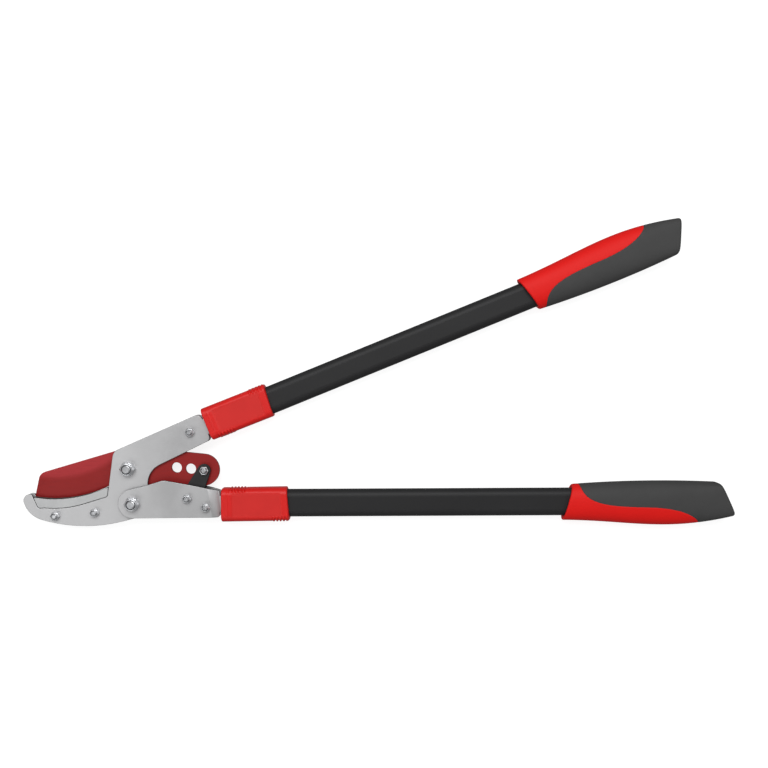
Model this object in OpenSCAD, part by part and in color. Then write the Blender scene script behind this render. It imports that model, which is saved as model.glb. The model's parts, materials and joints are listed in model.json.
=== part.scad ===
// Compound anvil lopper with two long handles, lying on its rear side with the blade shut.
// Frame: the origin is on the axis of the handle pivot, at the rear face of its bolt head.
// +X runs along the lower handle, +Y is towards the upper handle, and +Z is up, out of the
// plane that the tool swings in. All sizes are millimetres.

/* [Head] */
// Thickness of the blade plate
blade_t = 4; // [3:0.5:5]
// Thickness of each steel side plate and each link
plate_t = 3; // [2.5:0.1:3.2]
// Thickness of the slip washers beside the blade
shim_t = 0.5; // [0.3:0.1:0.7]
// Diameter of the round holes in the tail of the blade
tail_hole_d = 10.4; // [8:0.2:11]
// Width of the ground bevel along the cutting edge
bevel_w = 22; // [12:1:26]

/* [Arms] */
// Angle between the two handles with the blade shut
arm_angle = 21.9; // [20.5:0.1:23]
// Width of the oval handle tube
tube_w = 27.8; // [27.4:0.1:29]
// Thickness of the oval handle tube
tube_t = 14.6; // [14.6:0.1:15.4]
// Wall of the handle tube
tube_wall = 1.4; // [1:0.1:1.4]
// Length of the collar that covers the joint of plates and tube
collar_len = 66; // [60:1:72]
// Thickness of the collar
collar_t = 22; // [21:0.5:24]
// Distance from the head end of the collar to the grip
grip_start = 341; // [250:1:400]

/* [Hidden] */
$fn = 48;

// colours
steel = [0.74, 0.74, 0.75];
alloy = [0.83, 0.84, 0.85];
zinc = [0.80, 0.81, 0.82];
blade_red = [0.55, 0.15, 0.16];
collar_red = [0.80, 0.13, 0.12];
grip_red = [0.88, 0.11, 0.10];
charcoal = [0.15, 0.15, 0.15];
black = [0.10, 0.10, 0.10];
grip_grey = [0.25, 0.25, 0.25];
brass = [0.80, 0.65, 0.35];

// pivots and fasteners in the plane of the tool
blade_pivot = [-4.8, 34.6];
link_pivot = [71.2, 32.6];
link_anchor = [54.4, 4.9];
lower_arm_bolt_at = [72.9, -4];
upper_arm_bolt_at = [57.3, 70.9];
anvil_screws_at = [[-77.6, -12.2], [-38.3, -9.1]];

// layers, counted from the middle of the blade
running_gap = 0.05;
plate_gap = 0.15;
z_in = blade_t / 2 + shim_t + 2 * running_gap; // inner face of the anvil plates and links
z_mid = z_in + plate_t; // their outer face
z_low = z_mid + plate_gap; // inner face of the lower plates
z_out = z_low + plate_t; // their outer face
m8_head_h = 5.3;
pivot_half = z_out + running_gap; // half length of the handle pivot's sleeve
mid_z = pivot_half + m8_head_h; // height of the blade's middle plane over the surface
grip_t = 2 * mid_z;

// bores and shafts
m8_r = 4;
m5_r = 2.5;
sleeve_r = 5; // outer radius of both pivot sleeves
sleeve_step_r = 6; // radius of the handle sleeve where it spaces the anvil plates
bush_r = tail_hole_d / 2 - 0.05;
anchor_r = 3.4; // spacer that the lower eye of each link swings on
anchor_play = 1.75; // clearance of that eye, the pivot where the closed linkage is opened
close_fit = 0.02;
run_fit = 0.06;

// where each arm starts: the head end of its collar, on the tube's axis
lower_arm_at = [88, -0.8];
upper_arm_at = rotated([97.8, 43.8], arm_angle);
tang_half_w = 8;
tang_len = 44;
tang_rivets_at = [16, 34];
tube_start = 3.2;
tube_end = 484;
rivet_head = [4, 1.1]; // radius and height

// ---- outlines ------------------------------------------------------------------------------

function rotated(p, angle) = [p[0] * cos(angle) - p[1] * sin(angle), p[0] * sin(angle) + p[1] * cos(angle)];
function unit(v) = v / norm(v);
function bearing(v) = atan2(v[1], v[0]);

// points of an arc about c, from angle a0 to a1, one about every step degrees
function arc(c, r, a0, a1, step = 5) =
    let (count = max(2, ceil(abs(a1 - a0) / step)))
    [for (i = [0:count]) c + r * [cos(a0 + (a1 - a0) * i / count), sin(a0 + (a1 - a0) * i / count)]];

// the corner p between the points a and b, rounded to radius r
function corner(a, p, b, r) =
    let (
        u = unit(a - p),
        v = unit(b - p),
        half = acos(u * v) / 2,
        c = p + unit(u + v) * r / sin(half),
        a0 = bearing(p + u * r / tan(half) - c),
        turn = bearing(p + v * r / tan(half) - c) - a0,
        sweep = turn > 180 ? turn - 360 : turn < -180 ? turn + 360 : turn
    )
    arc(c, r, a0, a0 + sweep, 8);

// a closed outline of [x, y, radius] points, each corner rounded where its radius isn't 0
function rounded(pts) =
    let (n = len(pts), at = [for (p = pts) [p[0], p[1]]])
    [for (i = [0:n - 1]) each
        (pts[i][2] > 0 ? corner(at[(i + n - 1) % n], at[i], at[(i + 1) % n], pts[i][2]) : [at[i]])];

// the outline around circles [x, y, radius], listed anticlockwise
function belt(circles) =
    let (
        n = len(circles),
        leave = [for (i = [0:n - 1])
            let (a = circles[i], b = circles[(i + 1) % n], d = [b[0] - a[0], b[1] - a[1]])
            bearing(d) - acos((a[2] - b[2]) / norm(d))]
    )
    [for (i = [0:n - 1]) let (
            from = leave[(i + n - 1) % n],
            turn = (leave[i] - from + 720) % 360
        ) each arc([circles[i][0], circles[i][1]], circles[i][2], from, from + turn, 8)];

// a point given along and outwards from the upper arm's axis
function on_upper_arm(p) = upper_arm_at + rotated(p, arm_angle);

// a point on a circle
function on_circle(c, r, angle) = c + r * [cos(angle), sin(angle)];

// lowest height of a circle's arc at x
function arc_y(c, r, x) = c[1] - sqrt(r * r - (x - c[0]) * (x - c[0]));

// the jaw: a belly arc, a hook arc and a round tip that run into each other
belly_at = [-47.6, 131.3];
belly_r = 153.9;
hook_at = [-84.6, 8.85];
hook_r = belly_r - norm(hook_at - belly_at);
tip_at = [-103.5, 3.3];
tip_r = hook_r - norm(tip_at - hook_at);
lobe_r = 14.9; // round end of every plate at the handle pivot
lobe_angle = 283.3; // where the belly runs into the lobe
hook_angle = 360 + bearing(hook_at - belly_at); // where the hook runs into the belly
tip_angle = 360 + bearing(tip_at - hook_at); // where the tip runs into the hook
tip_end = 69; // where the tip meets the anvil

// the seat that holds the anvil, and the anvil's face
seat_at = [-79, 99.2];
seat_r = 104;
face_at = [-78.5, 128.5];
face_r = 124;
seat_lift = 0.4; // the joint between the anvil's head and the plates
shut_gap = 0.3; // between the edge and the anvil when shut

// the seat from its heel to the inside of the hook, raised by lift
function seat_line(lift) =
    let (
        heel = [-25.8 - lift / 2, 6.7 + lift],
        toe = [-95.1 + lift / 2, -4.8 + lift],
        top = on_circle(tip_at, tip_r, tip_end) + [lift, 0],
        face_heel = [-24.9 - lift / 2, 13],
        floor = arc(seat_at, seat_r - lift, 286, 264.5, 2)
    )
    concat(corner(face_heel, heel, floor[0], 3), floor, corner(floor[len(floor) - 1], toe, top, 3.5));

plate_back = 1.8; // gap between the anvil plates' shoulders and the collar

anvil_plate_outline = concat(
    arc([0, 0], lobe_r, lobe_angle - 360, 0),
    corner([lobe_r, 0], [14.4, 32.6], on_upper_arm([-plate_back, -14.2]), 21),
    corner([14.4, 32.6], on_upper_arm([-plate_back, -14.2]), on_upper_arm([-plate_back, -tang_half_w]), 5),
    [for (p = [[-plate_back, -tang_half_w], [tang_len, -tang_half_w],
        [tang_len, tang_half_w], [-plate_back, tang_half_w]]) on_upper_arm(p)],
    corner(on_upper_arm([-plate_back, 0]), on_upper_arm([-plate_back, 14.4]), [-19.5, 52], 6),
    corner(on_upper_arm([-plate_back, 14.4]), [-19.5, 52], [-25.8, 6.7], 9),
    seat_line(0),
    arc(tip_at, tip_r, tip_end, tip_angle, 8),
    arc(hook_at, hook_r, tip_angle, hook_angle),
    arc(belly_at, belly_r, hook_angle, lobe_angle, 2)
);

anvil_head_outline = concat(
    seat_line(seat_lift),
    corner([-94.9, -4.4], [-99.66, 6.4], [-92, 5.3], 0.8),
    arc(face_at, face_r, 264, 294, 2),
    [[-25.1, arc_y(face_at, face_r, -27)]]
);

web_inset = 1.5; // the anvil's web stops this far inside the plates
anvil_web_outline = concat(
    corner([-27, 10], [-27, -18], [-45, -20], 3),
    arc(belly_at, belly_r - web_inset, 276, hook_angle, 2),
    arc(hook_at, hook_r - web_inset, hook_angle, tip_angle),
    arc(tip_at, tip_r - web_inset, tip_angle, 130, 8),
    [[-100.5, 5.5], [-92, 3.5], [-60, 3.5], [-27, 12]]
);

// the blade: a straight spine, a curved edge, and a tail with three holes
tail_at = [69.7, 32.8];
tail_r = 16;
edge_r = face_r - shut_gap;
hole_pitch = 14.2;
tail_slope = -5.3;
blade_outline = concat(
    arc(face_at, edge_r, 261.8, 297, 1.5),
    corner([-24, 17.6], [-7, 14.4], [14, 17.4], 14),
    corner([-7, 14.4], [15, 17.6], [30, 19.6], 30),
    corner([15, 17.6], [29, 19.6], [54, 18.2], 30),
    corner([29, 19.6], [54, 18.2], on_circle(tail_at, tail_r, 263), 60),
    arc(tail_at, tail_r, -97, 84.7),
    corner([70, 48.9], [-3, 56.6], [-50, 43.6], 24),
    corner([-50, 43.6], [-93.9, 30.1], [-99.6, 6.6], 9),
    corner([-93.9, 30.1], [-99.6, 6.6], [-96, 6], 1.5)
);
tail_holes_at = [for (i = [1, 2]) link_pivot - i * hole_pitch * [cos(tail_slope), sin(tail_slope)]];

lower_plate_outline = concat(
    arc([0, 0], lobe_r - 0.3, 109, 270),
    corner([0, -14.6], [86.4, -14.2], [86.4, -8], 2.5),
    [for (p = [[-1.6, -tang_half_w], [tang_len, -tang_half_w], [tang_len, tang_half_w], [-1.6, tang_half_w]])
        lower_arm_at + p],
    corner([86.4, 8], [86.4, 12.2], [60, 17.9], 2.5),
    corner([86.4, 12.2], [58, 18.3], [31, 23], 120),
    corner([58, 18.3], [30.5, 23.3], [17, 19.1], 14),
    corner([30.5, 23.3], [12, 17.6], [-4, 14.9], 30)
);

link_outline = belt([[link_pivot[0] - 0.4, link_pivot[1], 6.5],
    [link_anchor[0], link_anchor[1], 7.4],
    [link_anchor[0] + 5.4, link_anchor[1] - 1.6, 7]]);

// outlines on an arm's own axes: x along the tube from the collar's head end, y outwards
collar_mid = 0.7; // its section lies this far out from the tube's axis
collar_w = 34.4;
collar_skew = 2.2; // its grip end leans by this much
collar_outline = rounded([[0, -15.5, 2], [collar_len - 0.4, -16.2, 2],
    [collar_len - 0.4 + collar_skew, 17.1, 2], [0, 17.9, 2]]);

// the grip's two edges as Bezier curves, from its neck to its end
grip_outer = [[0.8, 18.4], [68.4, 19.3], [102.8, 31.4], [168.5, 14.8]];
grip_inner = [[11, -17.6], [52, -20.6], [104, -22], [153.7, -18.7]];
grip_round = 3; // rounding of its end
neck_round = 1.5; // rounding of its neck
grip_square = 0.86; // 1 would make its section an ellipse, less makes it squarer
grip_square_end = 0.45; // the same at its far end
grip_rings = 22;
grip_sides = 32;

function bezier(p, t) = pow(1 - t, 3) * p[0] + 3 * t * pow(1 - t, 2) * p[1]
    + 3 * t * t * (1 - t) * p[2] + pow(t, 3) * p[3];

function eased(v, power) = sign(v) * pow(abs(v), power);

// how square the grip's section is at t along it
function squareness(t) = grip_square + (grip_square_end - grip_square) * pow(max(0, 2 * t - 1), 2);

// half the grip's thickness: slimmer at the neck and a little slimmer at the end
function grip_half_t(t) = grip_t / 2 - 1.6 * pow(max(0, 1 - 2.2 * t), 2) - 0.9 * pow(max(0, 3 * t - 2), 2);

// the way that a Bezier edge runs at its start or, past halfway, at its end
function edge_way(p, t) = t < 0.5 ? unit(p[1] - p[0]) : unit(p[3] - p[2]);

// one ring of the grip's skin, pulled in by inset and moved on along both edges by push
function grip_ring(t, inset, push) =
    let (
        o = bezier(grip_outer, t),
        i = bezier(grip_inner, t),
        half = unit(o - i) * (norm(o - i) / 2 - inset),
        h = grip_half_t(t) - inset,
        power = squareness(t)
    )
    [for (k = [0:grip_sides - 1]) let (
            f = 360 * k / grip_sides,
            x = eased(cos(f), power),
            way = (1 + x) / 2 * edge_way(grip_outer, t) + (1 - x) / 2 * edge_way(grip_inner, t),
            m = (o + i) / 2 + half * x + push * way
        ) [m[0], m[1], h * eased(sin(f), power)]];

grip_skin = concat(
    [for (f = [90, 45]) grip_ring(0, neck_round * (1 - cos(f)), -neck_round * sin(f))],
    [for (n = [0:grip_rings]) grip_ring(n / grip_rings, 0, 0)],
    [for (f = [22.5:22.5:90]) grip_ring(1, grip_round * (1 - cos(f)), grip_round * sin(f))]
);

// the edge of the red cover where it meets the dark body of the grip, as two Bezier curves
split_near = [[15.3, -21], [19, -7.7], [23.1, 3], [70, 4]];
split_far = [[70, 4], [70, 5.3], [122.1, 0.4], [136, 22.5]];
cover_split = concat([[15.2, -30]], [for (n = [0:15]) bezier(split_near, n / 16)],
    [for (n = [0:16]) bezier(split_far, n / 16)], [[139, 30]]);

// ---- general shapes ------------------------------------------------------------------------

module at_mid() translate([0, 0, mid_z]) children();

module at(p, z = 0) translate([p[0], p[1], z]) children();

// a flat piece with its outline, from z0 up
module sheet_piece(outline, z0, t) translate([0, 0, z0]) linear_extrude(t) polygon(outline);

// a hole through everything near it
module bore(p, r) at(p, -30) cylinder(r = r, h = 60);

// a ring about the middle plane
module ring(p, r_out, r_in, half) at(p, -half) difference() {
    cylinder(r = r_out, h = 2 * half);
    translate([0, 0, -1]) cylinder(r = r_in, h = 2 * half + 2);
}

// hex bolt from the rear: head under z = -half, shank up to z = half + nut_h + 1
module hex_bolt(p, r, af, head_h, half, nut_h) at(p) {
    translate([0, 0, -half - head_h]) intersection() {
        cylinder(r = af / 2 / cos(30), h = head_h, $fn = 6);
        cylinder(r1 = af / 2 * 0.96, r2 = af / 2 * 0.96 + head_h * 1.73, h = head_h);
    }
    translate([0, 0, -half - 0.01]) cylinder(r = r, h = 2 * half + nut_h + 0.3);
    translate([0, 0, half + nut_h + 0.28]) cylinder(r1 = r, r2 = r * 0.84, h = 0.7);
}

// self-locking nut on the face at z = half: a chamfered hex with a round collar on top
module lock_nut(p, r, af, hex_h, crown_r, crown_h, half) at(p, half) difference() {
    union() {
        intersection() {
            cylinder(r = af / 2 / cos(30), h = hex_h, $fn = 6);
            translate([0, 0, hex_h - 20]) cylinder(r1 = af / 2 * 0.96 + 34.6, r2 = af / 2 * 0.96, h = 20);
        }
        translate([0, 0, hex_h - 0.01]) cylinder(r = crown_r, h = crown_h * 0.6);
        translate([0, 0, hex_h + crown_h * 0.6 - 0.02]) cylinder(r1 = crown_r, r2 = crown_r * 0.86, h = crown_h * 0.4 + 0.02);
    }
    translate([0, 0, -1]) cylinder(r = r + close_fit, h = 30);
}

// a bar along +X with its section's x across the tool and its y up
module along_x(from, length) translate([from, 0, 0]) rotate([90, 0, 90]) linear_extrude(length) children();

// oval section with round ends
module oval(w, t) union() {
    square([w - t, t], center = true);
    for (s = [-1, 1]) translate([s * (w - t) / 2, 0]) circle(d = t);
}

// section with rounded corners
module soft_box(w, t, r) polygon(rounded([for (s = [[-1, -1], [1, -1], [1, 1], [-1, 1]]) [s[0] * w / 2, s[1] * t / 2, r]]));

// places a piece that is modelled on an arm's own axes
module on_arm(upper) {
    if (upper) at(upper_arm_at, mid_z) rotate([0, 0, arm_angle]) children();
    else at(lower_arm_at, mid_z) mirror([0, 1, 0]) children();
}

// ---- head ----------------------------------------------------------------------------------

module anvil_plate(side) color(steel) at_mid() difference() {
    sheet_piece(anvil_plate_outline, side > 0 ? z_in : -z_mid, plate_t);
    bore([0, 0], sleeve_r + close_fit);
    bore(blade_pivot, sleeve_r + close_fit);
    bore(upper_arm_bolt_at, m5_r + 0.1);
    for (p = anvil_screws_at) bore(p, m5_r + 0.1);
    for (a = tang_rivets_at) bore(on_upper_arm([a, 0]), m5_r + 0.1);
}

module anvil() color(alloy) at_mid() difference() {
    union() {
        sheet_piece(anvil_head_outline, -z_mid + 0.1, 2 * z_mid - 0.2);
        sheet_piece(anvil_web_outline, -z_in + running_gap, 2 * z_in - 2 * running_gap);
    }
    for (p = anvil_screws_at) bore(p, m5_r + 0.1);
}

module anvil_screws() color(zinc) at_mid() for (p = anvil_screws_at) hex_bolt(p, m5_r, 8, 3.5, z_mid, 5);

module anvil_nuts() color(zinc) at_mid() for (p = anvil_screws_at) m5_lock_nut(p, z_mid);

module m5_lock_nut(p, half) lock_nut(p, m5_r, 8, 3.7, 3.5, 1.3, half);

module m8_lock_nut(p, half) lock_nut(p, m8_r, 13, 6, 5.6, 2, half);

module blade_pivot_bolt() color(zinc) at_mid() hex_bolt(blade_pivot, m8_r, 13, m8_head_h, z_mid + running_gap, 8);

module blade_pivot_nut() color(zinc) at_mid() m8_lock_nut(blade_pivot, z_mid + running_gap);

module blade_pivot_sleeve() color(zinc) at_mid() ring(blade_pivot, sleeve_r, m8_r + run_fit, z_mid + running_gap);

module blade_slip_washers() color(brass) at_mid() for (s = [-1, 1])
    translate([0, 0, s * (blade_t / 2 + running_gap + shim_t / 2)]) ring(blade_pivot, 9.5, sleeve_r + run_fit, shim_t / 2);

module handle_pivot_bolt() color(zinc) at_mid() hex_bolt([0, 0], m8_r, 13, m8_head_h, pivot_half, 8);

module handle_pivot_nut() color(zinc) at_mid() m8_lock_nut([0, 0], pivot_half);

module handle_pivot_sleeve() color(zinc) at_mid() difference() {
    union() {
        cylinder(r = sleeve_r, h = 2 * pivot_half, center = true);
        cylinder(r = sleeve_step_r, h = 2 * z_in - 2 * running_gap, center = true);
    }
    bore([0, 0], m8_r + run_fit);
}

// the blade, hollowed towards its edge by a cone about the centre of the edge's arc
module blade() color(blade_red) at_mid() difference() {
    sheet_piece(blade_outline, -blade_t / 2, blade_t);
    at(face_at) for (s = [0, 1]) mirror([0, 0, s]) intersection() {
        rotate_extrude($fn = 96) polygon([[edge_r - bevel_w, blade_t / 2], [edge_r + 1, 0.25], [edge_r + 1, blade_t]]);
        translate([-30, -140, -5]) cube([84, 60, 10]);
    }
    bore(blade_pivot, sleeve_r + run_fit);
    bore(link_pivot, tail_hole_d / 2);
    for (p = tail_holes_at) bore(p, tail_hole_d / 2);
}

// ---- link ----------------------------------------------------------------------------------

module link(side) color(black) at_mid() difference() {
    sheet_piece(link_outline, side > 0 ? z_in : -z_mid, plate_t);
    bore(link_pivot, m5_r + run_fit);
    bore(link_anchor, anchor_r + anchor_play);
}

module link_pin_bush() color(zinc) at_mid() ring(link_pivot, bush_r, m5_r + close_fit, z_in - running_gap);

module link_pin_bolt() color(zinc) at_mid() hex_bolt(link_pivot, m5_r, 8, 2.8, z_mid + running_gap, 4);

module link_pin_nut() color(zinc) at_mid() at(link_pivot, z_mid + running_gap) difference() {
    intersection() {
        cylinder(r = 4 / cos(30), h = 4, $fn = 6);
        translate([0, 0, -16]) cylinder(r1 = 3.84 + 34.6, r2 = 3.84, h = 20);
    }
    translate([0, 0, -1]) cylinder(r = m5_r + close_fit, h = 10);
}

// ---- lower plates --------------------------------------------------------------------------

// the lower plates are flat, then bent in by one plate to enter the tube
bend_from = 76.2;
bend_to = 85.5;
bend_lean = 8.2; // the bends lean by this angle
module lower_plate(side) color(steel) at_mid() mirror([0, 0, side > 0 ? 0 : 1]) difference() {
    intersection() {
        sheet_piece(lower_plate_outline, 0, 20);
        rotate([90, 0, bend_lean]) translate([0, 0, -60]) linear_extrude(120) polygon([
            [-40, z_low], [bend_from, z_low], [bend_to, z_in], [200, z_in],
            [200, z_mid], [bend_to, z_mid], [bend_from, z_out], [-40, z_out]]);
    }
    bore([0, 0], sleeve_r + run_fit);
    bore(link_anchor, m5_r + 0.1);
    bore(lower_arm_bolt_at, m5_r + 0.1);
    for (a = tang_rivets_at) bore(lower_arm_at + [a, 0], m5_r + 0.1);
}

// an M5 hex bolt, its lock nut and the tube that spaces a pair of plates, half apart outside
module m5_bolt(p, half) color(zinc) at_mid() hex_bolt(p, m5_r, 8, 3.5, half, 5);

module m5_nut(p, half) color(zinc) at_mid() m5_lock_nut(p, half);

module m5_spacer(p, r, half) color(zinc) at_mid() ring(p, r, m5_r + close_fit, half - running_gap);

// ---- arms, on their own axes ---------------------------------------------------------------

module arm_tube(upper) color(charcoal) on_arm(upper) difference() {
    along_x(tube_start, tube_end - tube_start) oval(tube_w, tube_t);
    along_x(tube_start - 1, tube_end) oval(tube_w - 2 * tube_wall, tube_t - 2 * tube_wall);
    for (a = tang_rivets_at) bore([a, 0], m5_r + 0.1);
}

// plastic block that fills the space between the two tangs inside the tube
module tang_filler(upper) color(black) on_arm(upper) difference() {
    along_x(tube_start + 0.5, tang_len - tube_start - 0.5)
        soft_box(2 * tang_half_w, 2 * z_in - 2 * running_gap, 1);
    for (a = tang_rivets_at) bore([a, 0], m5_r + 0.1);
}

module tang_rivets(upper) color(zinc) on_arm(upper) for (a = tang_rivets_at) at([a, 0]) {
    cylinder(r = m5_r, h = tube_t, center = true);
    for (s = [0, 1]) mirror([0, 0, s]) translate([0, 0, tube_t / 2])
        cylinder(r1 = rivet_head[0], r2 = rivet_head[0] * 0.7, h = rivet_head[1]);
}

// sleeve over the joint, with a sunk panel on both faces and five small ribs on two edges
rib_stand = 0.5;
rib_pitch = 3.3;
module arm_collar(upper) color(collar_red) on_arm(upper) difference() {
    union() {
        collar_bar(0);
        for (i = [0:4]) {
            collar_rib(8.6 + rib_pitch * i, -15.5);
            collar_rib(collar_len - 15.4 + rib_pitch * i, 17);
        }
    }
    along_x(tube_start, collar_len + 10) oval(tube_w + 0.2, tube_t + 0.2);
    along_x(-1, 10) soft_box(2 * tang_half_w + 0.6, 2 * z_mid + 0.4, 0.3);
    along_x(8, collar_len) soft_box(2 * rivet_head[0] + 1, tube_t + 2 * rivet_head[1] + 0.6, 1);
    for (s = [0, 1]) mirror([0, 0, s]) sheet_piece(rounded([[10, -11, 3], [collar_len - 6, -11.3, 3],
        [collar_len - 4.5, 12.3, 3], [10, 12.6, 3]]), collar_t / 2 - 0.5, 5);
}

module collar_bar(grow) intersection() {
    sheet_piece([for (p = collar_outline) p + [0, sign(p[1]) * grow]], -collar_t / 2 - grow, collar_t + 2 * grow);
    along_x(-1, collar_len + 4) translate([collar_mid, 0]) soft_box(collar_w + 2 * grow, collar_t + 2 * grow, 7 + grow);
}

module collar_rib(a, b) intersection() {
    collar_bar(rib_stand);
    translate([a, b - 4.5, -20]) cube([1.7, 9, 40]);
}

// the whole grip, before it is split into body and cover: a skin over the rings
module grip_blank() translate([grip_start, 0, 0]) polyhedron(
    points = [for (ring = grip_skin) each ring],
    faces = concat(
        [[for (k = [grip_sides - 1:-1:0]) k]],
        [[for (k = [0:grip_sides - 1]) (len(grip_skin) - 1) * grip_sides + k]],
        [for (n = [0:len(grip_skin) - 2], k = [0:grip_sides - 1])
            let (a = n * grip_sides + k, b = n * grip_sides + (k + 1) % grip_sides)
            each [[a, b, b + grip_sides], [a, b + grip_sides, a + grip_sides]]]
    ));

module cover_side(grow) translate([grip_start, 0, -40]) linear_extrude(80) polygon(concat(
    [for (p = cover_split) p + [-grow, grow]], [[-20, 60], [-20, -30]]));

module tube_space() along_x(grip_start - 5, tube_end - grip_start + 5) oval(tube_w + 0.1, tube_t + 0.1);

module grip_body(upper) color(grip_grey) on_arm(upper) difference() {
    grip_blank();
    cover_side(0);
    tube_space();
}

module grip_cover(upper) color(grip_red) on_arm(upper) difference() {
    intersection() {
        grip_blank();
        cover_side(0.05);
    }
    tube_space();
}

module tube_plug(upper) color(black) on_arm(upper) along_x(tube_end - 26, 25.5)
    oval(tube_w - 2 * tube_wall - 0.1, tube_t - 2 * tube_wall - 0.1);

// ---- nodes ---------------------------------------------------------------------------------

anvil_plate(1);  // anvil_plate_front
anvil_plate(-1);  // anvil_plate_rear
anvil();
anvil_screws();
anvil_nuts();
blade_pivot_bolt();
blade_pivot_nut();
blade_pivot_sleeve();
blade_slip_washers();
handle_pivot_bolt();
handle_pivot_nut();
handle_pivot_sleeve();
m5_bolt(upper_arm_bolt_at, z_mid);  // upper_arm_bolt
m5_nut(upper_arm_bolt_at, z_mid);  // upper_arm_nut
m5_spacer(upper_arm_bolt_at, 4.5, z_in);  // upper_arm_spacer
arm_tube(true);  // upper_tube
arm_collar(true);  // upper_collar
tang_filler(true);  // upper_tang_filler
tang_rivets(true);  // upper_tang_rivets
grip_body(true);  // upper_grip_body
grip_cover(true);  // upper_grip_cover
tube_plug(true);  // upper_tube_plug
blade();
link_pin_bush();
link_pin_bolt();
link_pin_nut();
link(1);  // link_front
link(-1);  // link_rear
lower_plate(1);  // lower_plate_front
lower_plate(-1);  // lower_plate_rear
m5_bolt(link_anchor, z_out);  // link_anchor_bolt
m5_nut(link_anchor, z_out);  // link_anchor_nut
m5_spacer(link_anchor, anchor_r, z_low);  // link_anchor_spacer
m5_bolt(lower_arm_bolt_at, z_out);  // lower_arm_bolt
m5_nut(lower_arm_bolt_at, z_out);  // lower_arm_nut
m5_spacer(lower_arm_bolt_at, 4, z_low);  // lower_arm_spacer
arm_tube(false);  // lower_tube
arm_collar(false);  // lower_collar
tang_filler(false);  // lower_tang_filler
tang_rivets(false);  // lower_tang_rivets
grip_body(false);  // lower_grip_body
grip_cover(false);  // lower_grip_cover
tube_plug(false);  // lower_tube_plug
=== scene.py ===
"""Looks of a compound anvil lopper with two long handles, lying shut on its rear side.

Lengths are written in millimetres and turned into metres where a mesh or a node takes them.
Only the lamps and the floor are written in metres.
Each arm has its own axes: a runs along its tube from the head end of the collar, b runs
outwards, away from the other arm, and z runs up from the middle of the tube.
"""

import json
import math

import bmesh
import bpy
import numpy as np
from mathutils import Matrix, Vector


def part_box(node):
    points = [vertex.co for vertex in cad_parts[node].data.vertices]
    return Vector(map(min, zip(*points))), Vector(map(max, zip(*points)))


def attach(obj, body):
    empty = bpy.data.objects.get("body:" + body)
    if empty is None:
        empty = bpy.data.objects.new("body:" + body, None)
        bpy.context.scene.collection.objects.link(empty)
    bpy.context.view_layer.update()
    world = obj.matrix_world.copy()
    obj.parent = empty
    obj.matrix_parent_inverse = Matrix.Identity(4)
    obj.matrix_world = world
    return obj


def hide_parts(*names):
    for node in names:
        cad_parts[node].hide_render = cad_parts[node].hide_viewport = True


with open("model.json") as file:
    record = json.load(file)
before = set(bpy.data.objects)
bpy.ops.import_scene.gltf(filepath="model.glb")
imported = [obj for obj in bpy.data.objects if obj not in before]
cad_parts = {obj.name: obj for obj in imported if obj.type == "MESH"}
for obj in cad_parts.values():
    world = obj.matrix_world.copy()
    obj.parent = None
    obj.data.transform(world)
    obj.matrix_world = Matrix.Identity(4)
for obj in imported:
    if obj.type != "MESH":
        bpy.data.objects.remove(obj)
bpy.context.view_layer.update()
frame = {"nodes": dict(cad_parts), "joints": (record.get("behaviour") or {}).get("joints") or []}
MM = 0.001
TURN = 2 * math.pi


# ---- the tool's own lines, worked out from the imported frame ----

def joint(name):
    """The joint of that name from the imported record."""
    return [j for j in frame["joints"] if j["name"] == name][0]


def pivot(name):
    """The x and y of a joint's axis, in millimetres."""
    return np.array(joint(name)["pos_m"][:2]) / MM


def corners(node):
    """The lowest and the highest corner of a CAD node, in millimetres."""
    low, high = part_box(node)
    return np.array(low) / MM, np.array(high) / MM


def flat_points(node):
    """The x and y of every point of a CAD node's mesh, in millimetres."""
    mesh = frame["nodes"][node].data
    points = np.empty(len(mesh.vertices) * 3)
    mesh.vertices.foreach_get("co", points)
    return points.reshape(-1, 3)[:, :2] / MM


MIDDLE = joint("handle_open")["pos_m"][2] / MM  # height of the tubes' middle
TUBE_START = 3.2  # the tube's head end, counted from the collar's


class Arm:
    """An arm's axes, read from its tube's mesh: the tube's long direction and its head end."""

    def __init__(self, side, outwards):
        self.side = side
        places = flat_points(side + "_tube")
        middle = (places.min(0) + places.max(0)) / 2
        along = np.linalg.svd(places - places.mean(0), full_matrices=False)[2][0]
        self.along = along * np.sign(along[0])
        self.out = outwards * np.array([-self.along[1], self.along[0]])
        head_end = ((places - middle) @ self.along).min()
        self.start = middle + self.along * (head_end - TUBE_START)

    def place(self, grid):
        """Turns a grid of (a, b, z) points into points of the shared frame."""
        flat = self.start + grid[..., :1] * self.along + grid[..., 1:2] * self.out
        return np.concatenate([flat, grid[..., 2:] + MIDDLE], axis=-1)


ARMS = [Arm("upper", 1), Arm("lower", -1)]


# ---- meshes from grids ----

SAME_POINT = 0.004 * MM  # points nearer than this are one


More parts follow.
